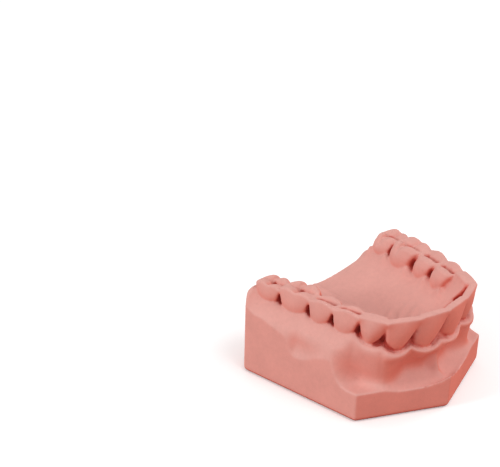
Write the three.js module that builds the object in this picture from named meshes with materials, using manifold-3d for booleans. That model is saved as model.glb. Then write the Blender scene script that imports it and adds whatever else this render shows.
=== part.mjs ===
// A dental study cast of an upper arch, poured in pink gypsum stone and ground flat on seven sides.
// It stands on its base with the teeth upwards. Millimetres, +Z up, the front teeth towards -Y and
// the patient's right at +X. The origin is the middle of the underside.
import * as THREE from "three";
import { mergeVertices } from "three/addons/utils/BufferGeometryUtils.js";
import Module from "manifold-3d";

const wasm = await Module();
wasm.setup();

// Heights above the underside.
const bitingHeight = 28; // the level at which neighbouring crowns touch
const baseThickness = 6; // the lower pour of stone
const palateHeight = 14.5; // the deepest part of the palate
const sulcusHeight = 7.2; // the bottom of the groove between lip and gum

// The arch. Its depth follows from the width and from the crowns that stand along it.
const archWidth = 54; // between the outer faces of the last molars
const archForm = [[0, 0], [9.2, 1.6], [17.3, 5.2], [20.8, 13], [24.1, 26.9], [27, 44.8]]; // its shape

// Crowns from the midline back. width runs along the arch and depth across it, at the gum;
// edge is the thickness at the biting surface; crown and innerCrown are the heights above the gum
// outside and inside; neck is the share of the width that is left at the gum; cusp is how far the
// cusps stand above the biting level.
const toothRow = [
  { name: "central_incisor", width: 9.3, depth: 6.6, edge: 1.9, crown: 10, innerCrown: 8, neck: 0.72, cusp: 0.3 },
  { name: "lateral_incisor", width: 9, depth: 6.2, edge: 1.9, crown: 8.9, innerCrown: 7.8, neck: 0.72, cusp: 0.3 },
  { name: "canine", width: 7.8, depth: 7.2, edge: 2.8, crown: 8, innerCrown: 7.6, neck: 0.78, cusp: 1 },
  { name: "first_premolar", width: 7.7, depth: 8.4, edge: 6.2, crown: 5.8, innerCrown: 7, neck: 0.84, cusp: 1 },
  { name: "second_premolar", width: 7.5, depth: 8.6, edge: 6.4, crown: 5.5, innerCrown: 7, neck: 0.84, cusp: 0.9 },
  { name: "first_molar", width: 10, depth: 10.2, edge: 8.2, crown: 5, innerCrown: 6.8, neck: 0.86, cusp: 0.9 },
  { name: "second_molar", width: 8.2, depth: 9.6, edge: 7.6, crown: 4.7, innerCrown: 6.6, neck: 0.86, cusp: 0.8 },
];
const frontTeeth = 3; // the first three have one biting edge, the others a chewing surface
const rootStub = 4; // how far each crown's stub reaches below the outer gum line
const neckInset = 1.7; // how far a front crown's neck lies behind its biting edge
const rootInset = 3.2; // and the end of its stub
const contactGap = 0.3; // between neighbouring crowns
const seatGap = 0.3; // between a crown and the gum round it
const papillaRise = 1.2; // how far the gum climbs between two crowns

// The gum outside the arch.
const frontInset = 3.3; // from the facial line in to the foot of the front gum
const frontFlare = 2.2; // how far the front gum leans out above its foot
const wallRun = 2.2; // how far out the front gum falls from its margin to the groove
const sideRun = 9; // the same at the sides, where most of it is ground away
const palateRun = 13; // how far in the palate falls from the inner gum line
const tuberosityDrop = 4; // how far the ridge falls behind the last molar

// The flat cuts of the trimming wheel.
const frontShelf = 2.6; // from the incisors forward to the pointed front
const sideMargin = 3.83; // from the last molar out to the side cut
const backMargin = 4.9; // from the last molar back to the back cut
const frontCutAngle = 23; // degrees between a front cut and the back cut
const sideCutAngle = 80; // degrees between a side cut and the back cut
const heelLength = 5.65; // a heel cut, measured along the side
const heelWidth = 6.2; // and along the back

const stone = { color: 0xdf9a90, roughness: 0.85, metalness: 0 };

const lerp = THREE.MathUtils.lerp;
const smooth = (x, low, high) => THREE.MathUtils.smoothstep(x, low, high);
const rad = THREE.MathUtils.degToRad;

// ---- The facial line, along the outer faces of the crowns ----

const rowLength = toothRow.reduce((sum, tooth) => sum + tooth.width, 0);
const formWidth = archForm.at(-1)[0] * 2;

function facialCurve(depthScale) {
  const side = archForm.map(([x, y]) => new THREE.Vector3((x * archWidth) / formWidth, y * depthScale, 0));
  const other = side.slice(1).reverse().map((p) => new THREE.Vector3(-p.x, p.y, 0));
  const curve = new THREE.CatmullRomCurve3([...other, ...side], false, "centripetal");
  curve.arcLengthDivisions = 800;
  return curve;
}

// The depth at which the curve is as long as both rows of crowns, found by halving.
function archDepthScale() {
  let low = 0.2;
  let high = 5;
  for (let step = 0; step < 40; step++) {
    const middle = (low + high) / 2;
    if (facialCurve(middle).getLength() > 2 * rowLength) high = middle;
    else low = middle;
  }
  return (low + high) / 2;
}

const depthScale = archDepthScale();
const facialLine = facialCurve(depthScale);
const archDepth = archForm.at(-1)[1] * depthScale;
const frontY = frontShelf - (frontShelf + archDepth + backMargin) / 2; // the outline is centred on the origin
const molarEnd = frontY + archDepth;

// A point on the right half of the facial line, a given way along it from the midline, and the
// outward normal there. Behind the last molar the line runs on straight.
function facialPoint(along) {
  const inside = Math.min(along, rowLength);
  const u = THREE.MathUtils.clamp(0.5 + (0.5 * inside) / rowLength, 0, 1);
  const point = facialLine.getPointAt(u);
  const tangent = facialLine.getTangentAt(u);
  const normal = new THREE.Vector3(tangent.y, -tangent.x, 0);
  point.addScaledVector(tangent, along - inside);
  point.y += frontY;
  return { point, normal };
}

// Each crown's chord between its two contacts, with the half angles to its neighbours' chords.
const contacts = [0];
for (const tooth of toothRow) contacts.push(contacts.at(-1) + tooth.width);
const chords = toothRow.map((tooth, i) => {
  const from = facialPoint(contacts[i]).point;
  const to = facialPoint(contacts[i + 1]).point;
  return { middle: from.clone().lerp(to, 0.5), length: from.distanceTo(to), angle: Math.atan2(to.y - from.y, to.x - from.x) };
});
chords.forEach((chord, i) => {
  chord.mesial = i === 0 ? chord.angle : (chord.angle - chords[i - 1].angle) / 2;
  chord.distal = i + 1 < chords.length ? (chords[i + 1].angle - chord.angle) / 2 : 0;
});

// ---- Solids ----

function solidFrom(geometry) {
  const bare = geometry.clone();
  bare.deleteAttribute("normal");
  bare.deleteAttribute("uv");
  const merged = mergeVertices(bare, 1e-4);
  const vertProperties = new Float32Array(merged.attributes.position.array);
  return new wasm.Manifold(new wasm.Mesh({ numProp: 3, vertProperties, triVerts: new Uint32Array(merged.index.array) }));
}

function geometryFrom(solid) {
  const mesh = solid.getMesh();
  const geometry = new THREE.BufferGeometry();
  geometry.setAttribute("position", new THREE.BufferAttribute(mesh.vertProperties, 3));
  geometry.setIndex(new THREE.BufferAttribute(mesh.triVerts, 1));
  geometry.computeVertexNormals();
  return geometry;
}

// Moves every vertex of a box of unit half sizes to where place(u, v, w) says.
function shapedBox(segments, place) {
  const geometry = new THREE.BoxGeometry(2, 2, 2, ...segments);
  const position = geometry.attributes.position;
  for (let i = 0; i < position.count; i++) {
    position.setXYZ(i, ...place(position.getX(i), position.getY(i), position.getZ(i)));
  }
  geometry.computeVertexNormals();
  return geometry;
}

// ---- Crowns ----

const crownSegments = [6, 4, 6];
const seatHeight = (tooth) => bitingHeight - tooth.crown - rootStub;
const isFront = (tooth) => toothRow.indexOf(tooth) < frontTeeth;

// How far the biting surface stands above the biting level at (u, v), each from -1 to 1.
function bitingRelief(tooth, u, v) {
  const index = toothRow.indexOf(tooth);
  if (index < 2) return tooth.cusp * (1 - 2 * u ** 4); // a straight edge with rounded corners
  if (index === 2) return tooth.cusp * (1 - 1.6 * Math.abs(u)); // one point
  const pits = (1 - u * u) * (1 - v * v);
  const peaks = index < 5 ? 1 - u * u : (1 - Math.cos(2 * Math.PI * u)) / 2; // one pair or two pairs of cusps
  return tooth.cusp * (v * v * peaks - 1.2 * pits);
}

// The crown's outer and inner faces and its share of the full width, at a height above the outer
// gum line. Local y runs inwards from the facial line.
function crownSection(tooth, height) {
  const up = THREE.MathUtils.clamp(height / tooth.crown, 0, 1);
  const down = THREE.MathUtils.clamp(-height / rootStub, 0, 1);
  const lean = isFront(tooth) ? 1 : 0.5;
  const outer = lean * lerp(neckInset * (1 - up) ** 2, rootInset, down) - 0.5 * Math.sin(Math.PI * up);
  const taper = isFront(tooth) ? up ** 0.8 : up ** 3;
  const inner = lerp(tooth.depth, tooth.edge, taper) - 0.6 * down;
  const share = lerp(tooth.neck, 1, smooth(up, 0, 0.75)) - 0.1 * down;
  return { outer, inner, share };
}

// A crown and its stub, in its own frame: x along its chord, y inwards, z up from its seat. The
// angles are those of its two side planes, and grow makes it larger all round for its socket.
function crownGeometry(tooth, length, leftAngle, rightAngle, grow = 0) {
  const roundness = isFront(tooth) ? 0.7 : 0.5;
  const nominal = tooth.crown + rootStub;
  return shapedBox(crownSegments, (u, v, w) => {
    const level = (w + 1) / 2;
    const z = level * (nominal + bitingRelief(tooth, u, v));
    const { outer, inner, share } = crownSection(tooth, level * nominal - rootStub);
    const across = v * Math.sqrt(1 - (roundness * u * u) / 2);
    const along = u * Math.sqrt(1 - (roundness * v * v) / 2);
    const y = lerp(outer - grow, inner + grow, (across + 1) / 2);
    const left = -length / 2 + contactGap / 2 + y * Math.tan(leftAngle);
    const right = length / 2 - contactGap / 2 - y * Math.tan(rightAngle);
    const half = ((right - left) / 2) * share + grow;
    return [(left + right) / 2 + along * half, y, z];
  });
}

function crownMesh(tooth, index, side, grow = 0) {
  const { middle, length, angle, mesial, distal } = chords[index];
  const [left, right] = side > 0 ? [mesial, distal] : [distal, mesial];
  const mesh = new THREE.Mesh(
    crownGeometry(tooth, length, left, right, grow),
    new THREE.MeshStandardMaterial(stone),
  );
  mesh.name = `upper_${side > 0 ? "right" : "left"}_${tooth.name}`;
  mesh.position.set(side * middle.x, middle.y, seatHeight(tooth));
  mesh.rotation.z = side * angle;
  mesh.updateMatrixWorld();
  return mesh;
}

// ---- The outline that the trimming wheel leaves ----

function trimOutline() {
  const sideX = (y) => archWidth / 2 + sideMargin - (molarEnd - y) / Math.tan(rad(sideCutAngle));
  const pointY = frontY - frontShelf;
  const backY = molarEnd + backMargin;
  const slope = Math.tan(rad(frontCutAngle));
  const lean = 1 / Math.tan(rad(sideCutAngle));
  const canineX = sideX(pointY) / (1 - slope * lean);
  const canineY = pointY + canineX * slope;
  const heelY = backY - heelLength;
  const right = [[canineX, canineY], [sideX(heelY), heelY], [sideX(heelY) - heelWidth, backY]];
  const left = right.map(([x, y]) => [-x, y]).reverse();
  return [[0, pointY], ...right, ...left].map(([x, y]) => new THREE.Vector2(x, y));
}

function trimmedBlock(low, high) {
  const shape = new THREE.Shape(trimOutline());
  return new THREE.ExtrudeGeometry(shape, { depth: high - low, bevelEnabled: false }).translate(0, 0, low);
}

// ---- Gum and palate ----

// A tooth's value at its middle, blended with its neighbours' a given way along the arch.
function alongRow(key, along) {
  const middles = toothRow.map((tooth, i) => contacts[i] + tooth.width / 2);
  const next = middles.findIndex((middle) => middle > along);
  if (next === 0) return toothRow[0][key];
  if (next < 0) return toothRow.at(-1)[key];
  const share = (along - middles[next - 1]) / (middles[next] - middles[next - 1]);
  return lerp(toothRow[next - 1][key], toothRow[next][key], share);
}

// 1 in the middle of a contact between two crowns, 0 at the middle of a crown.
function betweenCrowns(along) {
  const index = toothRow.findIndex((tooth, i) => along <= contacts[i + 1]);
  if (index < 0) return 1;
  return ((2 * (along - contacts[index])) / toothRow[index].width - 1) ** 2;
}

// 1 along the front teeth, 0 along the sides.
const frontShare = (along) => 1 - smooth(along, contacts[2] - 2, contacts[4]);

// The height of the gum at a distance out from the facial line, before the front is leaned out.
function gumHeight(along, out) {
  const front = frontShare(along);
  const behind = tuberosityDrop * smooth(along, rowLength, rowLength + backMargin);
  const rise = papillaRise * betweenCrowns(along) - behind;
  const outerGum = bitingHeight - alongRow("crown", along) + rise;
  const innerGum = bitingHeight - alongRow("innerCrown", along) + rise / 2 - behind / 2;
  const margin = -frontInset * front;
  const inner = -alongRow("depth", along) - frontFlare * front;
  if (out < margin) {
    const ridge = lerp(outerGum, innerGum, smooth(-out, -margin, -inner));
    return lerp(ridge, palateHeight, smooth(-out, -inner + 0.5, -inner + palateRun));
  }
  const valley = sulcusHeight + 0.7 * Math.max(0, 0.4 - out) + 0.5 * Math.max(0, out - 0.4) ** 1.3;
  const frontWall = lerp(outerGum, valley, smooth(out, margin, margin + wallRun));
  const sideWall = lerp(outerGum, sulcusHeight + 3, smooth(out, 0, sideRun));
  return lerp(sideWall, frontWall, front);
}

const flareLow = 9.5; // the gum starts to lean out at this height
const flareHigh = 18; // and is all the way out at this one
const beyondCut = 12; // how far the untrimmed gum reaches outside the facial line
const ribbon = 5; // how far inside the facial line the rows still run beside it
const rowsOut = 14;
const rowsIn = 9;
const stationCount = 40;

// The shortest way from a point to the facial line, for the palate.
const lineSamples = Array.from({ length: 160 }, (_, i) => facialPoint(((rowLength + 9) * i) / 159).point);
const wayIn = (x, y) => Math.min(...lineSamples.map((p) => Math.hypot(p.x - x, p.y - y)));

// One half of the gum before trimming: a block whose top follows gumHeight, with stations along the
// facial line, and rows that run beside it and then in to the midline.
function gumHalf(side) {
  const lineEnd = rowLength + backMargin + 4;
  const start = facialPoint(0).point.y + ribbon;
  const finish = facialPoint(lineEnd).point.y;
  const overlap = 0.15; // past the midline, so that the halves join
  return shapedBox([stationCount, rowsOut + rowsIn, 1], (u, v, w) => {
    const along = (lineEnd * (1 + side * u)) / 2;
    const { point, normal } = facialPoint(along);
    const row = ((v + 1) / 2) * (rowsOut + rowsIn);
    const out = row <= rowsOut ? beyondCut - (beyondCut + ribbon) * (1 - (1 - row / rowsOut) ** 1.5) : -ribbon;
    const inward = Math.max(0, row - rowsOut) / rowsIn;
    const place = point.clone().addScaledVector(normal, out);
    let distance = out;
    if (row > rowsOut) {
      const target = start + 3 + ((finish - start - 3) * (place.y - start)) / (finish - start);
      place.lerp(new THREE.Vector3(0, target, 0), inward);
      distance = -wayIn(place.x, place.y);
    }
    const height = gumHeight(along, distance);
    const lean = frontFlare * frontShare(along) * smooth(height, flareLow, flareHigh);
    if (w > 0) place.addScaledVector(normal, lean * (1 - inward));
    const x = side * (place.x < 0.01 ? -overlap : place.x);
    return [x, place.y, w > 0 ? height : baseThickness - 2];
  });
}

function gumMesh() {
  let gum = solidFrom(gumHalf(1)).add(solidFrom(gumHalf(-1)));
  gum = gum.intersect(solidFrom(trimmedBlock(baseThickness, bitingHeight)));
  for (const side of [1, -1]) {
    toothRow.forEach((tooth, index) => {
      const socket = crownMesh(tooth, index, side, seatGap);
      gum = gum.subtract(solidFrom(socket.geometry.clone().applyMatrix4(socket.matrixWorld)));
    });
  }
  const mesh = new THREE.Mesh(geometryFrom(gum), new THREE.MeshStandardMaterial(stone));
  mesh.name = "gum_and_palate";
  return mesh;
}

function baseMesh() {
  const mesh = new THREE.Mesh(trimmedBlock(0, baseThickness), new THREE.MeshStandardMaterial(stone));
  mesh.name = "base";
  return mesh;
}

const cast = new THREE.Group();
cast.add(baseMesh(), gumMesh());
for (const side of [1, -1]) {
  toothRow.forEach((tooth, index) => cast.add(crownMesh(tooth, index, side)));
}

export default cast;
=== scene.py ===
import math

import bmesh
import bpy
import numpy as np
from mathutils import Matrix, Vector, bvhtree, kdtree


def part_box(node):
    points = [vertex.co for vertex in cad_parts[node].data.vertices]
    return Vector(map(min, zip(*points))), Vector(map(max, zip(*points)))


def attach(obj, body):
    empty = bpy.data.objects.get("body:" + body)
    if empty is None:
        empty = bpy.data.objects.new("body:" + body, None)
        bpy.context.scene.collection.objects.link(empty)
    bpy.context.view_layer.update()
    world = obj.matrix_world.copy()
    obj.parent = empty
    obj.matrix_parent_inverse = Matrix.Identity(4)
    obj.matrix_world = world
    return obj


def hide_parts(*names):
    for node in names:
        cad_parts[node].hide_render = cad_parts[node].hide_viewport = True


# A dental study cast of an upper arch in pink stone. The shapes are worked out in millimetres and
# scaled to metres at the end. +X is the patient's right, -Y the front, +Z up.

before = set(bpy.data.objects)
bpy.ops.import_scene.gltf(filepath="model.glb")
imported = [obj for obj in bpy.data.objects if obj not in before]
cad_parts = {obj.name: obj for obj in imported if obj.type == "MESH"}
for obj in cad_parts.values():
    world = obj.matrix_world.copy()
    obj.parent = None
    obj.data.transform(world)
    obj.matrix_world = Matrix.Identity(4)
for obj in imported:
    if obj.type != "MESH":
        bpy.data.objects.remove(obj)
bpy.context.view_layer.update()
mm = 0.001


def boxOf(node):
    low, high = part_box(node)
    return low / mm, high / mm


arch = {
    "width": 54.0,  # between the outer faces of the last molars
    "form": [(0, 0), (9.2, 1.6), (17.3, 5.2), (20.8, 13), (24.1, 26.9), (27, 44.8)],
    "formWidth": 54.0,  # the width that the form's points are drawn at
    "frontShelf": 2.6,  # incisors to the pointed front
    "backMargin": 4.9,  # last molar to the back cut
    "bitingHeight": 28.0,
    "beyond": 9.0,  # the line runs on this far behind the last molar
    "stepsPerPoint": 60,
    "evenSteps": 700,
}

# Crowns from the midline back, in millimetres. edge is the biting end's thickness and depth the neck's,
# neck the share of the width left at the gum, top the biting end's height above the others, lean how
# far the neck stands back of the biting end, margin and innerMargin the gum's heights outside and
# inside, and papilla the gum's height at the far contact.
crownValues = ("width", "depth", "edge", "neck", "top", "lean", "margin", "innerMargin", "papilla")
crownSizes = {
    "central_incisor": (9.3, 6.4, 2.0, 0.64, 0.0, 0.9, 17.9, 20.0, 19.5),
    "lateral_incisor": (9.0, 6.2, 2.0, 0.64, 0.0, 1.1, 18.6, 20.0, 20.3),
    "canine": (7.8, 7.8, 3.2, 0.7, 0.0, 1.1, 20.2, 20.4, 22.4),
    "first_premolar": (7.7, 7.0, 5.8, 0.62, -0.2, 1.0, 21.3, 21.2, 22.7),
    "second_premolar": (7.5, 7.6, 6.4, 0.62, -0.2, 1.0, 21.4, 21.2, 22.8),
    "first_molar": (10.0, 9.0, 7.8, 0.72, -0.2, 0.7, 21.5, 21.2, 22.5),
    "second_molar": (8.2, 8.6, 7.2, 0.78, -1.2, 0.4, 21.8, 21.2, 24.5),
}
crowns = {name: dict(zip(crownValues, sizes)) for name, sizes in crownSizes.items()}
frontCrowns = 3  # the incisors and the canine have a biting edge
crownNames = list(crowns)
widths = np.array([crowns[n]["width"] for n in crownNames])
contacts = np.concatenate([[0], np.cumsum(widths)])
rowLength = contacts[-1]
middles = (contacts[:-1] + contacts[1:]) / 2
necks = contacts + np.array([0] + [crowns[n]["lean"] for n in crownNames])  # the contacts at the gum
baseLow, baseHigh = boxOf("base")
frontY = baseLow.y + arch["frontShelf"]
molarEnd = baseHigh.y - arch["backMargin"]


def smoothstep(x, low, high):
    t = np.clip((x - low) / (high - low), 0, 1)
    return t * t * (3 - 2 * t)


def hump(x, centre, spread):
    return np.exp(-(((x - centre) / spread) ** 2))


def mix(a, b, share):
    return a + (b - a) * share


# The line along the outer faces of the crowns, right half, from the midline back: a centripetal
# Catmull-Rom curve through the form's points, evenly stepped, that runs on straight at the back.
def facialLine():
    scale = (molarEnd - frontY) / arch["form"][-1][1]
    side = [(x * arch["width"] / arch["formWidth"], y * scale + frontY) for x, y in arch["form"]]
    knots = np.array([(-x, y) for x, y in side[:0:-1]] + side)
    knots = np.vstack([2 * knots[0] - knots[1], knots, 2 * knots[-1] - knots[-2]])
    pieces = []
    t = np.linspace(0, 1, arch["stepsPerPoint"])[:, None]
    for a, b, c, d in zip(knots, knots[1:], knots[2:], knots[3:]):
        ab, bc, cd = (math.sqrt(np.linalg.norm(q - p)) for p, q in ((a, b), (b, c), (c, d)))
        start = ((b - a) / ab - (c - a) / (ab + bc) + (c - b) / bc) * bc
        end = ((c - b) / bc - (d - b) / (bc + cd) + (d - c) / cd) * bc
        bend = 3 * (c - b) - 2 * start - end
        twist = 2 * (b - c) + start + end
        pieces.append(b + start * t + bend * t**2 + twist * t**3)
    line = np.vstack(pieces)
    line = np.vstack([[0, frontY], line[line[:, 0] > 0.01]])
    tail = line[-1] - line[-4]
    line = np.vstack([line, line[-1] + tail / np.linalg.norm(tail) * arch["beyond"]])
    along = np.concatenate([[0], np.cumsum(np.linalg.norm(np.diff(line, axis=0), axis=1))])
    even = np.linspace(0, along[-1], arch["evenSteps"])
    return even, np.stack([np.interp(even, along, line[:, k]) for k in (0, 1)], 1)


lineAlong, linePoints = facialLine()
lineTangents = np.gradient(linePoints, lineAlong, axis=0)
lineTangents /= np.linalg.norm(lineTangents, axis=1)[:, None]
lineTangents[0] = (1, 0)


# Points and outward normals at signed distances along the line, left of the midline below zero.
def atLine(s):
    side = np.where(np.asarray(s) < 0, -1.0, 1.0)
    x, y, tx, ty = (np.interp(np.abs(s), lineAlong, data) for data in (*linePoints.T, *lineTangents.T))
    return np.stack([side * x, y], -1), np.stack([side * ty, -tx], -1)


print("arch: line", round(float(lineAlong[-1] - arch["beyond"]), 2), "mm, crowns", rowLength, "mm")

gumLine = {
    "midlinePapilla": 18.8,
    "innerPapilla": 2.0,  # how far the gum rises between crowns on the inner side
    "sharpness": 1.9,  # how pointed the papillae are
    "behindDrop": 5.4,  # how far the ridge falls behind the last molar
    "dropRun": (0.3, 5.8),  # between these distances behind it
}
outerMargins = np.array([crowns[n]["margin"] for n in crownNames])
innerMargins = np.array([crowns[n]["innerMargin"] for n in crownNames])
papillae = np.array([gumLine["midlinePapilla"]] + [crowns[n]["papilla"] for n in crownNames])
depths = np.array([crowns[n]["depth"] for n in crownNames])


# Which crown stands at a distance from the midline, and how near its contacts that is: 0 to 1.
def crownAt(a):
    index = np.clip(np.searchsorted(necks, a, side="right") - 1, 0, len(widths) - 1)
    across = np.clip((a - necks[index]) / (necks[index + 1] - necks[index]), 0, 1)
    return index, across, np.abs(2 * across - 1)


def ridgeDrop(a):
    begin, end = gumLine["dropRun"]
    return gumLine["behindDrop"] * smoothstep(a, rowLength + begin, rowLength + end)


def outerGum(a):
    index, across, between = crownAt(a)
    tip = np.where(across < 0.5, papillae[index], papillae[index + 1])
    return mix(outerMargins[index], tip, between ** gumLine["sharpness"]) - ridgeDrop(a)


# The inner gum's even height, and how far it rises above that near the contacts.
def innerGum(a):
    between = crownAt(a)[2]
    even = np.interp(a, middles, innerMargins)
    return even - ridgeDrop(a), gumLine["innerPapilla"] * between ** gumLine["sharpness"] * (a < rowLength)


crownShape = {
    "stub": 3.6,  # how far each crown reaches into the gum
    "stubDraw": 0.8,  # and how far it draws in on the way
    "neckInset": 1.75,  # a front crown's neck behind its biting edge
    "faceBulge": 0.55,
    "faceSweep": 0.7,  # how far the face turns back at its sides
    "cingulum": 0.35,
    "sideBulge": 0.25,  # of the back crowns' outer face
    "innerBulge": 0.2,
    "contactOverlap": 0.2,  # neighbours run into each other by this much
    "innerOverlap": 1.06,  # the front crowns' share of the width at the back, where they meet
    "steps": 17,
}
canineShape = {"eminence": 0.9, "sideInset": 0.5, "ridge": 0.2}

# Cusps as (u, v, height, spread u, spread v), u towards the molars and v inwards, both -1 to 1.
# Fissures as (u, v, u, v, depth, half width), from one point to another.
premolarTop = {
    "cusps": [(0.0, -0.8, 0.95, 0.6, 0.55), (-0.05, 0.6, 0.7, 0.6, 0.45)],
    "fissures": [
        (-0.62, -0.02, 0.62, -0.02, 1.1, 0.17),
        (-0.62, -0.25, -0.62, 0.2, 0.5, 0.14),
        (0.62, -0.25, 0.62, 0.2, 0.5, 0.14),
    ],
    "pit": 0.9,
    "innerFall": 1.0,
}
molarTop = {
    "cusps": [
        (-0.5, -0.8, 0.65, 0.36, 0.5),
        (0.47, -0.8, 0.55, 0.36, 0.5),
        (-0.42, 0.62, 1.0, 0.44, 0.42),
        (0.55, 0.66, 0.7, 0.34, 0.36),
    ],
    "fissures": [
        (-0.7, 0.0, 0.1, -0.02, 1.0, 0.13),
        (0.1, -0.02, 0.72, 0.05, 0.7, 0.12),
        (0.0, -0.02, 0.0, -0.75, 0.9, 0.12),
        (0.3, 0.1, 0.22, 1.1, 0.9, 0.12),
    ],
    "pit": 0.6,
    "innerFall": 0.7,
}
biting = {
    "central_incisor": {"cusps": [], "fissures": [], "edgeRise": 0.3, "cornerFall": 0.25},
    "lateral_incisor": {"cusps": [], "fissures": [], "edgeRise": 0.2, "cornerFall": 0.25},
    "canine": {"cusps": [(0.1, -0.2, 0.15, 0.6, 9)], "fissures": [], "edgeRise": 0.05, "cornerFall": 0.25},
    "first_premolar": premolarTop,
    "second_premolar": premolarTop,
    "first_molar": molarTop,
    "second_molar": molarTop,
}


def fissureDepth(u, v, u0, v0, u1, v1, depth, halfWidth):
    du, dv = u1 - u0, v1 - v0
    t = np.clip(((u - u0) * du + (v - v0) * dv) / (du * du + dv * dv), 0, 1)
    away = np.hypot(u - u0 - t * du, v - v0 - t * dv)
    return depth * np.exp(-((away / halfWidth) ** 2))


def bitingRelief(name, u, v):
    top = biting[name]
    rise = np.zeros_like(u)
    for cuspU, cuspV, height, spreadU, spreadV in top["cusps"]:
        rise += height * hump(u, cuspU, spreadU) * hump(v, cuspV, spreadV)
    if "pit" in top:
        rise -= top["pit"] * (1 - u * u) * (1 - v * v) + 0.15 * np.maximum(np.abs(u), np.abs(v)) ** 8
        rise -= top["innerFall"] * smoothstep(v, 0, 1.2) + 0.4 * np.abs(u) ** 4
    else:
        rise += top["edgeRise"] - top["cornerFall"] * np.abs(u) ** 5
    for fissure in top["fissures"]:
        rise -= fissureDepth(u, v, *fissure)
    return rise


# The outer and inner faces, y inwards from the facial line, and the share of the width. up runs from
# 0 at the gum to 1 at the biting end, and down from 0 at the gum to 1 at the stub's foot.
def crownFaces(name, u, up, down):
    t, shape = crowns[name], crownShape
    if name in crownNames[:frontCrowns]:
        outer = shape["neckInset"] * (1 - up) ** 1.5 - shape["faceBulge"] * np.sin(math.pi * up**0.9)
        outer = outer + shape["faceSweep"] * u * u * (1 - up**3)
        if name == "canine":
            outer = outer - canineShape["eminence"] * (1 - up) ** 1.5
            outer = outer + canineShape["sideInset"] * (1 - up) * smoothstep(-u, 0.1, 1)
            outer = outer - canineShape["ridge"] * hump(u, 0.2, 0.5) * (1 - up**4)
        inner = t["edge"] + (t["depth"] - t["edge"]) * (1 - up) ** 1.5
        inner = inner + shape["cingulum"] * hump(up, 0.16, 0.16)
        share = mix(t["neck"], 1, np.clip(up / 0.9, 0, 1) ** 0.85)
    else:
        outer = 0.15 * (1 - up) ** 2 - shape["sideBulge"] * np.sin(math.pi * up**0.75) + 0.1 * up**3
        inner = t["depth"] + shape["innerBulge"] * np.sin(math.pi * up**0.8)
        inner = inner - (t["depth"] - t["edge"]) * up**1.8
        share = mix(t["neck"], 1, np.clip(up / 0.85, 0, 1) ** 0.6)
    return outer + shape["stubDraw"] * down, inner - shape["stubDraw"] * down, share - 0.08 * down


# Each crown's chord between its contacts and the half angles to its neighbours.
ends = atLine(contacts)[0]
chordAngles = np.arctan2(*(ends[1:] - ends[:-1]).T[::-1])
chordLengths = np.linalg.norm(ends[1:] - ends[:-1], axis=1)
halfTurns = np.concatenate([[chordAngles[0]], np.diff(chordAngles) / 2, [0]])


# Local crown coordinates (x along the chord, y inwards) to the cast's own, on either side.
def placeOnArch(index, side, x, y, z):
    cos, sin = math.cos(chordAngles[index]), math.sin(chordAngles[index])
    centre = (ends[index] + ends[index + 1]) / 2
    return np.stack([side * (centre[0] + x * cos - y * sin), centre[1] + x * sin + y * cos, z], -1)


def sidePlanes(index, y):
    half = chordLengths[index] / 2
    return -half + y * math.tan(halfTurns[index]), half - y * math.tan(halfTurns[index + 1])


def cubeOf(steps):
    bm = bmesh.new()
    bmesh.ops.create_cube(bm, size=2)
    bmesh.ops.subdivide_edges(bm, edges=bm.edges[:], cuts=steps, use_grid_fill=True)
    return bm


def coordsOf(bm):
    return np.array([v.co for v in bm.verts])


def moveTo(bm, places, flipped=False):
    for vert, place in zip(bm.verts, places):
        vert.co = place
    if flipped:
        bmesh.ops.reverse_faces(bm, faces=bm.faces[:])
    return bm


# How much each crown rounds off at its sides: at the outer face and at the inner one.
def crownRoundness(front, up, v):
    if front:
        return mix(mix(0.8, 0.5, up) - 0.4 * smoothstep(up, 0.75, 1), 0.15, (v + 1) / 2)
    return mix(mix(0.65, 0.25, up), 0.7, (v + 1) / 2)


def crown(index, side):
    name = crownNames[index]
    t, front = crowns[name], index < frontCrowns
    bm = cubeOf(crownShape["steps"])
    u, v, w = coordsOf(bm).T
    tall = arch["bitingHeight"] + t["top"] - t["margin"]
    z = (w + 1) / 2 * (tall + crownShape["stub"]) - crownShape["stub"]
    up = np.clip(z / tall, 0, 1)
    outer, inner, share = crownFaces(name, u, up, np.clip(-z / crownShape["stub"], 0, 1))
    roundness = crownRoundness(front, up, v)
    across = v * np.sqrt(1 - roundness * u * u / 2)
    along = u * np.sqrt(1 - roundness * v * v / 2)
    y = mix(outer, inner, (across + 1) / 2)
    left, right = sidePlanes(index, y)
    inwards = np.clip((across + 1) / 2, 0, 1)
    narrowing = 1 - (0.02 if front else 0.06) * (across + 1) / 2
    if front:
        share = mix(share, crownShape["innerOverlap"], inwards**2.0)
    else:
        share = mix(share, 1, inwards**1.5 * 0.8)
    shift = t["lean"] * (1 - up) ** 1.2
    atMidline = inwards if index == 0 else 0  # the central crowns meet at the back
    half = ((right - left) / 2 + crownShape["contactOverlap"]) * share * narrowing + shift * atMidline / 2
    middle = (left + right) / 2 + shift * (1 - atMidline / 2)
    lift = bitingRelief(name, u, v) * smoothstep(w, 0.1, 1) ** 2
    places = placeOnArch(index, side, middle + along * half, y, t["margin"] + z + lift)
    return moveTo(bm, places, flipped=side < 0)


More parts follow.
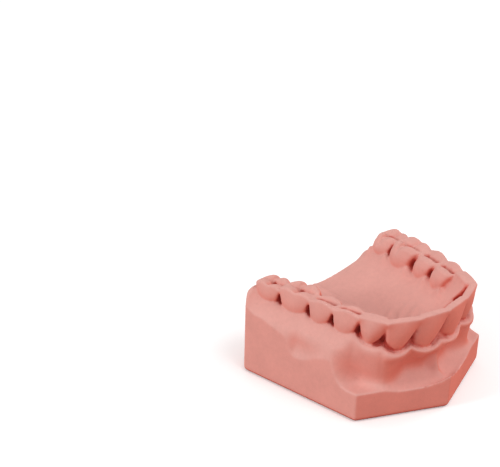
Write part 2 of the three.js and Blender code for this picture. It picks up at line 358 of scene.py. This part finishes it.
# The sections outside the crowns, front one first. Each has the distances along the line between which
# it takes over from the one before, with the start for its lowest knots last, and then its knots, from
# far out to under the crowns, as distances out from the facial line and heights. Heights over 90 are
# measured from the gum line, which stands at 100.
gum = {
    "sections": [
        (
            None,
            [12, 7, 2.9, 0.6, -1.7, -3.9, -5.0, -5.1, -3.9, -1.6, -0.6, -0.8, -2.6],
            [14, 10.8, 10.6, 7.4, 7.8, 8.7, 10.0, 12.0, 14.4, 98.0, 99.1, 99.85, 99.9],
        ),
        (
            (9.0, 21.0, 12.5),  # at the canine
            [12, 8, 5.3, 2.6, 0.8, -0.5, -0.7, -0.2, 0.2, 0.45, 0.4, 0.0, -0.9],
            [7, 8.3, 8.6, 8.5, 8.6, 9.4, 11.2, 13.9, 16.6, 98.0, 99.3, 99.95, 100],
        ),
        (
            (24.5, 32.0, 24.5),  # beside the premolars
            [12, 8, 6.6, 5.6, 4.9, 4.4, 3.9, 3.4, 2.7, 1.6, 0.75, 0.1, -0.8],
            [4, 6, 8, 10, 12, 13.6, 15.2, 17, 18.7, 98.0, 99.3, 99.95, 100],
        ),
        (
            (46.0, 59.0, 46.0),  # beside the last molar
            [12, 9, 8, 7.4, 6.9, 6.4, 5.9, 5.3, 4.5, 3.0, 1.4, 0.3, -0.8],
            [4, 6, 8, 10, 12, 14, 16.4, 18.8, 96.8, 98.0, 99.2, 99.95, 100],
        ),
    ],
    "gumLineMark": 100,
    "markedFrom": 90,
    "belowGumLine": 2.4,  # the other knots stay this far under it
    "easingRounds": 4,
    "stations": 300,
    "rowsPerKnot": 5,
    "rowsUnder": 14,
    "rowsInside": 56,
    "ribbon": 5.0,  # how far inside the line the rows under the crowns run
    "palate": 14.5,
    "palateRun": 14.5,  # from the crowns' inner faces to the full depth
    "palateSmoothing": 120,
    "frenum": 3.4,  # the ridge at the midline, under the incisors
    "frenumSpread": 1.7,
    "sideHollow": 1.9,
    "sideHollowAt": 42.5,
    "foot": -3.0,  # the block is built down to here and then trimmed
}


# The sections at distances s from the midline, blended along the line and eased: out and up.
def gumSection(s):
    a = np.abs(s)[:, None]
    knot = np.arange(len(gum["sections"][0][1]))[None, :]
    front = 1 - smoothstep(a, 15.5, 24)
    line = outerGum(a)
    between = np.where(a > rowLength, 1.0, crownAt(a)[2])
    for where, outs, ups in gum["sections"]:
        ups = np.array(ups, float)
        marked = ups > gum["markedFrom"]
        ups = np.where(marked, ups - gum["gumLineMark"] + line, np.minimum(ups, line - gum["belowGumLine"]))
        if where is None:
            out, up = np.array(outs, float) + 0 * a, ups
            continue
        share = smoothstep(a, mix(where[2], where[0], smoothstep(knot, 3, 6)), where[1])
        out, up = mix(out, np.array(outs, float), share), mix(up, ups, share)
    crest = smoothstep(knot, 7.5, 11)
    out = out - crest * mix(0.75, 1.15, front) * between**2
    out = out - hump(knot, 7.5, 2.2) * 0.35 * between**2 * (1 - 0.3 * front)
    hollowReach = np.where(a > gum["sideHollowAt"], 2.2, 6.5)
    out = out - gum["sideHollow"] * hump(a, gum["sideHollowAt"], hollowReach) * hump(up, 13, 4)
    ridge = hump(s[:, None], 0, gum["frenumSpread"])
    out = out + gum["frenum"] * ridge * hump(knot, 6.2, 2.2)
    up = up + 0.7 * ridge * hump(knot, 4, 1.6)
    rows = np.linspace(0, out.shape[1] - 1, (out.shape[1] - 1) * gum["rowsPerKnot"] + 1)
    first = np.minimum(rows.astype(int), out.shape[1] - 2)
    share = rows - first
    out, up = (mix(data[:, first], data[:, first + 1], share) for data in (out, up))
    for _ in range(gum["easingRounds"]):
        for data in (out, up):
            data[:, 1:-1] = data[:, 1:-1] / 2 + (data[:, :-2] + data[:, 2:]) / 4
    return out, up


# The palate's folds as (distance behind the front, reach to the side, height).
folds = [(12.2, 7.5, 0.5), (15.2, 8.5, 0.6), (18.6, 7.5, 0.5), (22.0, 6.0, 0.35)]


# Those folds, with the small papilla in front of them and the seam along the midline.
def palateFolds(x, y):
    back = y - frontY
    height = 0.95 * hump(x, 0, 1.5) * hump(back, 9.6, 2.6)
    for k, (start, reach, strength) in enumerate(folds):
        wave = 0.45 * np.sin(np.abs(x) * 0.9 + k + 0.8 * np.sign(x))
        middle = start + 0.32 * np.abs(x) + wave
        window = smoothstep(np.abs(x), 0.7, 2.6) * (1 - smoothstep(np.abs(x), reach - 2, reach + 2.5))
        height = height + strength * window * hump(back, middle, 0.85)
    return height + 0.3 * hump(x, 0, 0.8) * smoothstep(back, 14, 18)


# Heights under the crowns and over the palate, q being the distance in from the crowns' inner faces.
def insideHeight(away, a, x, y):
    depth = np.interp(a, middles, depths)
    q = away - depth
    even, between = innerGum(a)
    hidden = mix(outerGum(a) - 0.1, even + between, smoothstep(away, 2.0, depth - 0.8))
    fall = 0.8 * smoothstep(q, 0.1, 1.2) + between * smoothstep(q, 0, 2.6)
    steep = 1.6 * smoothstep(a, 35, rowLength) * smoothstep(q, 0.2, 4)
    slope = (even - 0.8 - steep - gum["palate"]) * smoothstep(q, 0.4, gum["palateRun"])
    inner = np.where(q < 0.1, hidden, even + between - fall - steep - slope)
    soft = inner.copy()
    for _ in range(gum["palateSmoothing"]):  # eases the creases where the nearest crown changes
        soft[1:-1, 1:-1] = (soft[:-2, 1:-1] + soft[2:, 1:-1] + soft[1:-1, :-2] + soft[1:-1, 2:]) / 4
    return mix(inner, soft, smoothstep(q, 1.0, 4.0)) + palateFolds(x, y) * smoothstep(q, 0.5, 2.5)


# The nearest point of the facial line to each place: how far away it is and how far along.
nearSteps = np.concatenate([-lineAlong[:0:-2], lineAlong[::2]])
nearPoints = atLine(nearSteps)[0]


def nearestOnLine(x, y):
    away = np.full(x.shape, 1e9)
    best = np.zeros(x.shape)
    for start in range(0, len(nearSteps), 50):
        part = nearPoints[start : start + 50]
        d = np.hypot(x[..., None] - part[:, 0], y[..., None] - part[:, 1])
        k = d.argmin(-1)
        value = np.take_along_axis(d, k[..., None], -1)[..., 0]
        closer = value < away
        away = np.where(closer, value, away)
        best = np.where(closer, nearSteps[start + k], best)
    return away, np.abs(best)


def gumBlock():
    end = lineAlong[-1]
    s = np.linspace(-end, end, gum["stations"] * 2 + 1)
    point, normal = atLine(s)
    out, up = gumSection(s)
    outerX, outerY = (point[:, k : k + 1] + normal[:, k : k + 1] * out for k in (0, 1))
    # under the crowns, beside the line
    under = np.linspace(0, 1, gum["rowsUnder"] + 1)[None, 1:]
    d = mix(out[:, -1:], -gum["ribbon"], under)
    underX, underY = (point[:, k : k + 1] + normal[:, k : k + 1] * d for k in (0, 1))
    # and straight on to the midline
    inward = np.linspace(0, 1, gum["rowsInside"] + 1)[None, 1:]
    startY = underY[len(s) // 2, -1]
    endY = underY[0, -1]
    target = startY + 3 + (endY - startY - 3) * (underY[:, -1:] - startY) / (endY - startY)
    insideX = mix(underX[:, -1:], 0, inward)
    insideY = mix(underY[:, -1:], target, inward)
    x, y = np.hstack([underX, insideX]), np.hstack([underY, insideY])
    away, a = nearestOnLine(x, y)
    z = insideHeight(away, a, x, y)
    places = np.stack([np.hstack([outerX, x]), np.hstack([outerY, y]), np.hstack([up, z])], -1)

    bm = bmesh.new()
    rows, columns = places.shape[0], places.shape[1]
    bmesh.ops.create_grid(bm, x_segments=columns - 1, y_segments=rows - 1, size=1)
    grid = coordsOf(bm)
    column = np.rint((grid[:, 0] + 1) / 2 * (columns - 1)).astype(int)
    row = np.rint((grid[:, 1] + 1) / 2 * (rows - 1)).astype(int)
    moveTo(bm, places[row, column])
    bmesh.ops.remove_doubles(bm, verts=bm.verts[:], dist=1e-4)
    border = [e for e in bm.edges if e.is_boundary]
    walls = bmesh.ops.extrude_edge_only(bm, edges=border)["geom"]
    for vert in walls:
        if isinstance(vert, bmesh.types.BMVert):
            vert.co.z = gum["foot"]
    bmesh.ops.edgeloop_fill(bm, edges=[e for e in bm.edges if e.is_boundary])
    bmesh.ops.recalc_face_normals(bm, faces=bm.faces[:])
    return bm


# The corners of the base's underside, in order round it.
def outlineCorners():
    points = {(round(v.co.x / mm, 3), round(v.co.y / mm, 3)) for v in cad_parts["base"].data.vertices}
    return sorted(points, key=lambda p: math.atan2(p[1], p[0]))


corners = outlineCorners()
print("outline:", corners)

pour = {
    "easing": 1.0,  # height of the eased rim
    "easingSlope": 0.8,
    "voxel": 0.3,
    "smoothing": 3,
    "spreading": 10,  # rounds of softening that hollowness is measured against
    "rays": 14,  # for closeness: how many, how long, and at one point in how many
    "reach": 6.0,
    "every": 7,
    "blend": 6,  # measured points averaged at each point of a piece
    "merge": 0.004,
    "crease": 55,  # degrees
}


# Takes away what lies beyond a plane and closes the cut.
def cut(bm, point, normal):
    everything = bm.verts[:] + bm.edges[:] + bm.faces[:]
    bmesh.ops.bisect_plane(
        bm, geom=everything, dist=1e-4, plane_co=point, plane_no=normal, clear_outer=True
    )
    edges = [e for e in bm.edges if e.is_boundary]
    if edges:
        bmesh.ops.edgeloop_fill(bm, edges=edges)


# The underside's rim is eased by a small slope, which keeps the bottom edge in its own shade.
def trim(bm):
    for (x0, y0), (x1, y1) in zip(corners, corners[1:] + corners[:1]):
        outward = Vector((y1 - y0, x0 - x1, 0)).normalized()
        cut(bm, Vector((x0, y0, 0)), outward)
        sloping = (outward - Vector((0, 0, pour["easingSlope"]))).normalized()
        cut(bm, Vector((x0, y0, pour["easing"])), sloping)
    cut(bm, Vector((0, 0, 0)), Vector((0, 0, -1)))


def objectFrom(bm, name):
    mesh = bpy.data.meshes.new(name)
    bm.to_mesh(mesh)
    bm.free()
    made = bpy.data.objects.new(name, mesh)
    bpy.context.scene.collection.objects.link(made)
    return made


def applied(made):
    mesh = bpy.data.meshes.new_from_object(made.evaluated_get(bpy.context.evaluated_depsgraph_get()))
    made.modifiers.clear()
    made.data = mesh
    return made


# Crowns, gum and base poured into one surface, which is then parted again into its pieces.
def pourStone():
    block = gumBlock()
    trim(block)
    whole = objectFrom(block, "pour")
    poured = [objectFrom(crown(i, side), "crownShape") for side in (1, -1) for i in range(len(crownNames))]
    bm = bmesh.new()
    for part in [whole] + poured:
        bm.from_mesh(part.data)
    for part in poured:
        bpy.data.objects.remove(part)
    bm.to_mesh(whole.data)
    bm.free()
    remesh = whole.modifiers.new("remesh", "REMESH")
    remesh.mode = "VOXEL"
    remesh.voxel_size = pour["voxel"]
    applied(whole)
    bm = bmesh.new()
    bm.from_mesh(whole.data)
    everyWay = {"use_axis_x": True, "use_axis_y": True, "use_axis_z": True}
    for _ in range(pour["smoothing"]):
        bmesh.ops.smooth_vert(bm, verts=bm.verts[:], factor=0.5, **everyWay)
    bm.to_mesh(whole.data)
    bm.free()
    return whole


whole = pourStone()
print("pour:", len(whole.data.vertices), "points")


# How hollow or proud the surface is at each point, in millimetres.
def hollowness(mesh):
    count = len(mesh.vertices)
    co = np.empty(count * 3, np.float32)
    mesh.vertices.foreach_get("co", co)
    normal = np.empty(count * 3, np.float32)
    mesh.vertices.foreach_get("normal", normal)
    edges = np.empty(len(mesh.edges) * 2, np.int32)
    mesh.edges.foreach_get("vertices", edges)
    co, normal, edges = co.reshape(-1, 3).astype(float), normal.reshape(-1, 3), edges.reshape(-1, 2)
    degree = np.bincount(edges.ravel(), minlength=count)[:, None]
    soft = co.copy()
    for _ in range(pour["spreading"]):
        total = np.empty_like(soft)
        for k in range(3):
            total[:, k] = np.bincount(edges[:, 0], soft[edges[:, 1], k], count)
            total[:, k] += np.bincount(edges[:, 1], soft[edges[:, 0], k], count)
        soft = (soft + total / degree) / 2
    return co, normal, ((soft - co) * normal).sum(1)


goldenAngle = 2.39996  # radians between rays, which spreads them evenly


# How much of the view outwards from a point is blocked within a few millimetres, 0 to 1, at
# scattered points of the surface.
def closeness(mesh, co, normal):
    body = bmesh.new()
    body.from_mesh(mesh)
    tree = bvhtree.BVHTree.FromBMesh(body)
    body.free()
    count, reach = pour["rays"], pour["reach"]
    k = np.arange(count) + 0.5
    flat, turn = np.sqrt(k / count), k * goldenAngle
    rays = np.stack([flat * np.cos(turn), flat * np.sin(turn), np.sqrt(1 - flat**2)], 1)
    chosen = np.arange(0, len(co), pour["every"])
    up = normal[chosen]
    side = np.cross(up, np.where(np.abs(up[:, 2:]) < 0.9, [[0, 0, 1]], [[1, 0, 0]]))
    side /= np.linalg.norm(side, axis=1)[:, None]
    frames = np.stack([side, np.cross(up, side), up], 1)
    starts = co[chosen] + up * 0.05
    blocked = []
    for start, directions in zip(starts.tolist(), (rays @ frames).tolist()):
        hits = (tree.ray_cast(start, direction, reach)[3] for direction in directions)
        blocked.append(sum(1 - hit / reach for hit in hits if hit is not None) / count)
    return chosen, np.array(blocked)


wholePoints, wholeNormals, hollowNear = hollowness(whole.data)
chosen, blocked = closeness(whole.data, wholePoints, wholeNormals)


def treeOf(points):
    tree = kdtree.KDTree(len(points))
    for k, point in enumerate(points):
        tree.insert(point, k)
    tree.balance()
    return tree


wholeTree = treeOf(wholePoints)
closeTree = treeOf(wholePoints[chosen])
print("hollowness:", np.percentile(hollowNear, (5, 50, 95)).round(3))
print("closeness:", np.percentile(blocked, (5, 50, 95)).round(3))


# The room that belongs to one crown: from the gum line up, between the planes through its contacts.
room = {
    "steps": 15,
    "outside": 3.2,
    "inside": 1.2,
    "past": 1.0,  # over the last neighbour, which has been parted off already
    "lift": 0.05,  # above the gum line
    "top": 33,
}


def crownRoom(index, side, firstOne):
    depth = crowns[crownNames[index]]["depth"]
    bm = cubeOf(room["steps"])
    u, v, w = coordsOf(bm).T
    y = mix(-room["outside"], depth + room["inside"], (v + 1) / 2)
    left, right = sidePlanes(index, y)
    before = 0 if firstOne else room["past"]
    after = room["past"] if index == len(crownNames) - 1 else 0
    x = mix(left - before, right + after, (u + 1) / 2)
    a = mix(contacts[index], contacts[index + 1], np.clip((x - left) / (right - left), 0, 1))
    line = mix(outerGum(a), sum(innerGum(a)), smoothstep(y, 0.8, depth - 0.8)) + room["lift"]
    bottom = np.where(x < left - 1e-6, line + room["lift"], line)
    places = placeOnArch(index, side, x, y, mix(bottom, room["top"], (w + 1) / 2))
    return moveTo(bm, places, flipped=side < 0)


def combined(body, other, operation):
    step = body.modifiers.new("part", "BOOLEAN")
    step.solver = "MANIFOLD"
    step.operation = operation
    step.object = other
    mesh = bpy.data.meshes.new_from_object(body.evaluated_get(bpy.context.evaluated_depsgraph_get()))
    body.modifiers.clear()
    return mesh


# The crowns are cut off one by one, and what is left is parted at the base's top.
def partPour():
    parted = {}
    for side, sideName in ((1, "right"), (-1, "left")):
        for index, name in enumerate(crownNames):
            space = objectFrom(crownRoom(index, side, index == 0 and side > 0), "room")
            parted[f"upper_{sideName}_{name}"] = combined(whole, space, "INTERSECT")
            whole.data = combined(whole, space, "DIFFERENCE")
            bpy.data.objects.remove(space)
    for node, up in (("base", -1), ("gum_and_palate", 1)):
        bm = bmesh.new()
        bm.from_mesh(whole.data)
        cut(bm, Vector((0, 0, baseHigh.z)), Vector((0, 0, -up)))
        mesh = bpy.data.meshes.new(node)
        bm.to_mesh(mesh)
        bm.free()
        parted[node] = mesh
    bpy.data.objects.remove(whole)
    return parted


# Which points lie on the ground sides of the cast: 0 to 1.
def groundShare(co):
    share = np.zeros(len(co))
    for (x0, y0), (x1, y1) in zip(corners, corners[1:] + corners[:1]):
        normal = np.array([y1 - y0, x0 - x1]) / math.hypot(x1 - x0, y1 - y0)
        away = (x0 - co[:, 0]) * normal[0] + (y0 - co[:, 1]) * normal[1]
        share = np.maximum(share, 1 - smoothstep(away, 0.02, 0.25))
    return share


# Closeness at any point, from the nearest measured ones.
def closenessAt(point):
    spots = closeTree.find_n(point, pour["blend"])
    shares = [1 / (away + 0.1) for _, _, away in spots]
    return sum(blocked[k] * share for (_, k, _), share in zip(spots, shares)) / sum(shares)


def finishPiece(node, mesh):
    made = bpy.data.objects.new(f"stone_{node}", mesh)
    bpy.context.scene.collection.objects.link(made)
    bm = bmesh.new()
    bm.from_mesh(mesh)
    bmesh.ops.remove_doubles(bm, verts=bm.verts[:], dist=pour["merge"])
    bmesh.ops.dissolve_degenerate(bm, edges=bm.edges[:], dist=pour["merge"] / 2)
    bmesh.ops.triangulate(bm, faces=[f for f in bm.faces if len(f.verts) > 4])
    bm.to_mesh(mesh)
    bm.free()
    co = np.array([v.co for v in mesh.vertices])
    found = np.array([wholeTree.find(v)[1] for v in co])
    close = np.array([closenessAt(v) for v in co])
    for label, values in (("hollow", hollowNear[found]), ("close", close), ("ground", groundShare(co))):
        layer = mesh.attributes.new(label, "FLOAT", "POINT")
        layer.data.foreach_set("value", values.astype(np.float32))
    mesh.transform(Matrix.Scale(mm, 4))
    mesh.polygons.foreach_set("use_smooth", [True] * len(mesh.polygons))
    mesh.set_sharp_from_angle(angle=math.radians(pour["crease"]))
    mesh.materials.clear()
    mesh.materials.append(castStone)
    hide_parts(node)
    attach(made, "root")
    return made


# A shader socket that takes plain arithmetic.
class Wire:
    def __init__(self, tree, socket):
        self.tree, self.socket = tree, socket

    def make(self, operation, *values, clamp=False):
        node = self.tree.nodes.new("ShaderNodeMath")
        node.operation = operation
        node.use_clamp = clamp
        for slot, value in zip(node.inputs, values):
            if isinstance(value, Wire):
                self.tree.links.new(value.socket, slot)
            else:
                slot.default_value = value
        return Wire(self.tree, node.outputs[0])

    def __add__(self, other):
        return self.make("ADD", self, other)

    def __sub__(self, other):
        return self.make("SUBTRACT", self, other)

    def __rsub__(self, other):
        return self.make("SUBTRACT", other, self)

    def __mul__(self, other):
        return self.make("MULTIPLY", self, other)

    __radd__ = __add__
    __rmul__ = __mul__

    def clamped(self):
        return self.make("ADD", self, 0.0, clamp=True)


class Finish:
    def __init__(self, name):
        self.material = bpy.data.materials.new(name)
        self.material.use_nodes = True
        self.tree = self.material.node_tree
        self.tree.nodes.clear()

    # A node of a type, with its settings first and then its sockets' values or links.
    def node(self, kind, settings=None, inputs=None, output=0):
        made = self.tree.nodes.new("ShaderNode" + kind)
        for key, value in (settings or {}).items():
            setattr(made, key, value)
        for key, value in (inputs or {}).items():
            if isinstance(value, Wire):
                self.tree.links.new(value.socket, made.inputs[key])
            else:
                made.inputs[key].default_value = value
        return Wire(self.tree, made.outputs[output])

    def noise(self, place, scale, detail=3.0, rough=0.5):
        inputs = {"Vector": place, "Scale": scale, "Detail": detail, "Roughness": rough}
        return self.node("TexNoise", None, inputs)

    def attribute(self, label):
        return self.node("Attribute", {"attribute_name": label}, output=2)

    def blend(self, share, a, b, kind="MIX"):
        return self.node("Mix", {"data_type": "RGBA", "blend_type": kind}, {0: share, 6: a, 7: b}, 2)

    def step(self, value, low, high):
        inputs = {"Value": value, "From Min": low, "From Max": high}
        return self.node("MapRange", {"interpolation_type": "SMOOTHSTEP"}, inputs)

    def finish(self, surface):
        out = self.tree.nodes.new("ShaderNodeOutputMaterial")
        self.tree.links.new(surface.socket, out.inputs["Surface"])
        return self.material


stone = {
    "body": (0.74, 0.178, 0.124, 1),
    "dustAndLight": (0.77, 0.375, 0.325, 1),  # painted light on the faces turned up and to the left, and powder settled on the upward faces
    "dustAndLightFrom": (-0.45, 0.1, 0.88),
    "dustAndLightRange": (-0.3, 0.85),
    "hollowShade": (0.6, 0.1, 0.07, 1),  # painted shade in hollows
    "hollowShadeRange": (0.13, 0.46),
    "edge": (0.8, 0.4, 0.35, 1),  # on proud edges: rubbed wear, and a painted highlight
    "edgeWearAndHighlightRange": (0.03, 0.2),
    "creviceShade": (0.42, 0.04, 0.027, 1),  # painted shade between crowns, and a painted contact shadow along the bottom edge
    "creviceShadeRange": (0.26, 0.5),
    "contactShadowRange": (0.4, 1.0),  # heights between which the painted contact shadow along the bottom edge fades
    "roughness": 0.85,
    "grain": 5.0,  # grains to a millimetre
    "grainHeight": 0.00004,
    "poreHeight": 0.00012,
    "scratches": (0.25, 0.25, 5.0),  # how the ground sides' scratches are stretched
}


# The grain at several sizes, and the scattered air bubbles.
def stoneGrain(f, place):
    cloud = f.noise(place, 0.16, 2.0)
    mottle = f.noise(place, 0.9, 4.0, 0.6)
    grain = f.noise(place, stone["grain"], 3.0, 0.65)
    cells = f.node("TexVoronoi", {"feature": "F1"}, {"Vector": place, "Scale": 1.5, "Randomness": 1.0})
    pores = (1 - f.step(cells, 0.06, 0.16)) * f.step(f.noise(place, 0.7, 1.0), 0.52, 0.6)
    return cloud, mottle, grain, pores


def stoneColour(f, place, cloud, mottle, grain, pores):
    normal = f.node("TexCoord", output=1)
    facing = f.node("VectorMath", {"operation": "DOT_PRODUCT"}, {0: normal, 1: stone["dustAndLightFrom"]}, 1)
    flat = f.step(f.node("SeparateXYZ", None, {0: normal}, 2), 0.6, 0.95)
    height = f.node("SeparateXYZ", None, {0: place}, 2)
    near, close = f.attribute("hollow"), f.attribute("close")
    # Painted shade: hollow places, and places closed in by the surface around them, are darkened and
    # reddened.
    hollow = f.step(near * 0.4 + close, *stone["hollowShadeRange"]) * (1 - flat * 0.7)
    # Proud places are painted paler, partly rubbed wear and partly a painted highlight.
    proud = f.step(near * -1.0, *stone["edgeWearAndHighlightRange"])
    # Painted shade: the most closed-in places, between the crowns, are painted near black.
    creviceShade = f.step(close, *stone["creviceShadeRange"])
    bottom = 1 - f.step(height, *stone["contactShadowRange"])
    # Faces turned towards the light are painted paler, a painted light mixed with settled powder; faces
    # turned away keep the darker, redder body colour.
    colour = f.blend(f.step(facing, *stone["dustAndLightRange"]), stone["body"], stone["dustAndLight"])
    colour = f.blend((hollow * 0.9).clamped(), colour, stone["hollowShade"])
    colour = f.blend((proud * 0.3).clamped(), colour, stone["edge"])
    colour = f.blend((creviceShade * 0.9).clamped(), colour, stone["creviceShade"])
    # A painted contact shadow: the lowest millimetre of the cast is painted near black.
    colour = f.blend(bottom * 0.95, colour, stone["creviceShade"])
    # The pores are painted a little darker, a painted shade in the pits.
    tone = (cloud - 0.5) * 0.16 + (mottle - 0.5) * 0.14 + (grain - 0.5) * 0.12 - pores * 0.12 + 1.0
    grey = f.node("CombineColor", None, {0: tone, 1: tone, 2: tone})
    return f.blend(1.0, colour, grey, "MULTIPLY")


def stoneRelief(f, place, mottle, grain, pores):
    streaks = f.node("VectorMath", {"operation": "MULTIPLY"}, {0: place, 1: stone["scratches"]})
    scratches = f.noise(streaks, 1.0, 3.0, 0.6) * f.attribute("ground")
    relief = grain * 0.6 + mottle * 1.0 + scratches * 0.9
    raised = {"Strength": 0.7, "Distance": stone["grainHeight"], "Height": relief}
    bump = f.node("Bump", None, raised)
    sunk = {"Strength": 0.8, "Distance": stone["poreHeight"], "Height": pores, "Normal": bump}
    return f.node("Bump", {"invert": True}, sunk)


def stoneFinish():
    f = Finish("castStone")
    place = f.node("VectorMath", {"operation": "SCALE"}, {0: f.node("TexCoord", output=3), "Scale": 1 / mm})
    cloud, mottle, grain, pores = stoneGrain(f, place)
    inputs = {
        "Base Color": stoneColour(f, place, cloud, mottle, grain, pores),
        "Roughness": (mottle - 0.5) * 0.12 + stone["roughness"],
        "Normal": stoneRelief(f, place, mottle, grain, pores),
        "Specular IOR Level": 0.3,
    }
    return f.finish(f.node("BsdfPrincipled", None, inputs))


castStone = stoneFinish()

for node, mesh in partPour().items():
    finishPiece(node, mesh)

studio = {
    "floorSize": 3.0,
    "skyStrength": 0.6,
    "bounce": 0.7,  # how much light the ground gives back
    "floorGlow": 0.2,
    "white": (1, 1, 1, 1),
    "lamps": [  # place, aim, size and watts
        ((-0.95, 0.3, 0.4), (0, 0, 0.01), 0.3, 3.4),
        ((0.95, -0.15, 0.4), (0, 0, 0.01), 0.3, 1.8),
        ((0.05, -0.6, 0.85), (0, 0, 0.01), 0.7, 2.8),
    ],
}


# 1 for what the camera sees, directly or by way of a glossy or clear surface, and 0 for lighting.
def shownShare(tree):
    path = tree.nodes.new("ShaderNodeLightPath")
    kinds = ("Is Camera Ray", "Is Glossy Ray", "Is Transmission Ray")
    direct, glossy, through = (Wire(tree, path.outputs[kind]) for kind in kinds)
    return (direct + glossy + through).clamped()


# A floor that looks white and keeps the cast's shadow.
def whiteGround():
    f = Finish("whiteGround")
    shown = shownShare(f.tree)
    tone = f.blend(shown, (studio["bounce"],) * 3 + (1,), studio["white"])
    paint = f.node("BsdfDiffuse", None, {"Color": tone})
    glow = f.node("Emission", None, {"Color": studio["white"], "Strength": shown * studio["floorGlow"]})
    return f.finish(f.node("AddShader", None, {0: paint, 1: glow}))


def buildFloor():
    bm = bmesh.new()
    bmesh.ops.create_grid(bm, x_segments=1, y_segments=1, size=studio["floorSize"])
    floor = objectFrom(bm, "floor")
    floor.data.materials.append(whiteGround())


def buildLamps():
    for number, (place, aim, size, watts) in enumerate(studio["lamps"]):
        light = bpy.data.lights.new(f"lamp{number}", "AREA")
        light.shape = "DISK"
        light.size = size
        light.energy = watts
        lamp = bpy.data.objects.new(f"lamp{number}", light)
        lamp.location = place
        lamp.rotation_euler = (Vector(aim) - Vector(place)).to_track_quat("-Z", "Y").to_euler()
        bpy.context.scene.collection.objects.link(lamp)


# White where it is seen, and a dimmer even light on the cast.
def buildSky():
    world = bpy.data.worlds.new("sky")
    bpy.context.scene.world = world
    world.use_nodes = True
    tree = world.node_tree
    tree.nodes.clear()
    strength = shownShare(tree) * (1 - studio["skyStrength"]) + studio["skyStrength"]
    sky = tree.nodes.new("ShaderNodeBackground")
    sky.inputs["Color"].default_value = studio["white"]
    tree.links.new(strength.socket, sky.inputs["Strength"])
    tree.links.new(sky.outputs[0], tree.nodes.new("ShaderNodeOutputWorld").inputs[0])


# The camera's place and its own axes, with its lens and sensor in millimetres.
camera = {
    "place": (-0.198412, -0.175074, 0.165463),
    "right": (0.76394, -0.64490, 0.02219),
    "down": (-0.26371, -0.34340, -0.90141),
    "forward": (0.58894, 0.68277, -0.43240),
    "lens": 79.48,
    "sensor": 36.0,
}


def setCamera():
    made = bpy.data.cameras.new("camera")
    made.lens = camera["lens"]
    made.sensor_fit = "HORIZONTAL"
    made.sensor_width = camera["sensor"]
    made.clip_start, made.clip_end = 0.01, 20
    eye = bpy.data.objects.new("camera", made)
    axes = Matrix((camera["right"], -Vector(camera["down"]), -Vector(camera["forward"]))).transposed()
    eye.matrix_world = Matrix.Translation(camera["place"]) @ axes.to_4x4()
    bpy.context.scene.collection.objects.link(eye)
    bpy.context.scene.camera = eye


buildFloor()
buildLamps()
buildSky()
setCamera()
bpy.context.scene.view_settings.view_transform = "Standard"
print("studio ready")

bpy.context.view_layer.update()
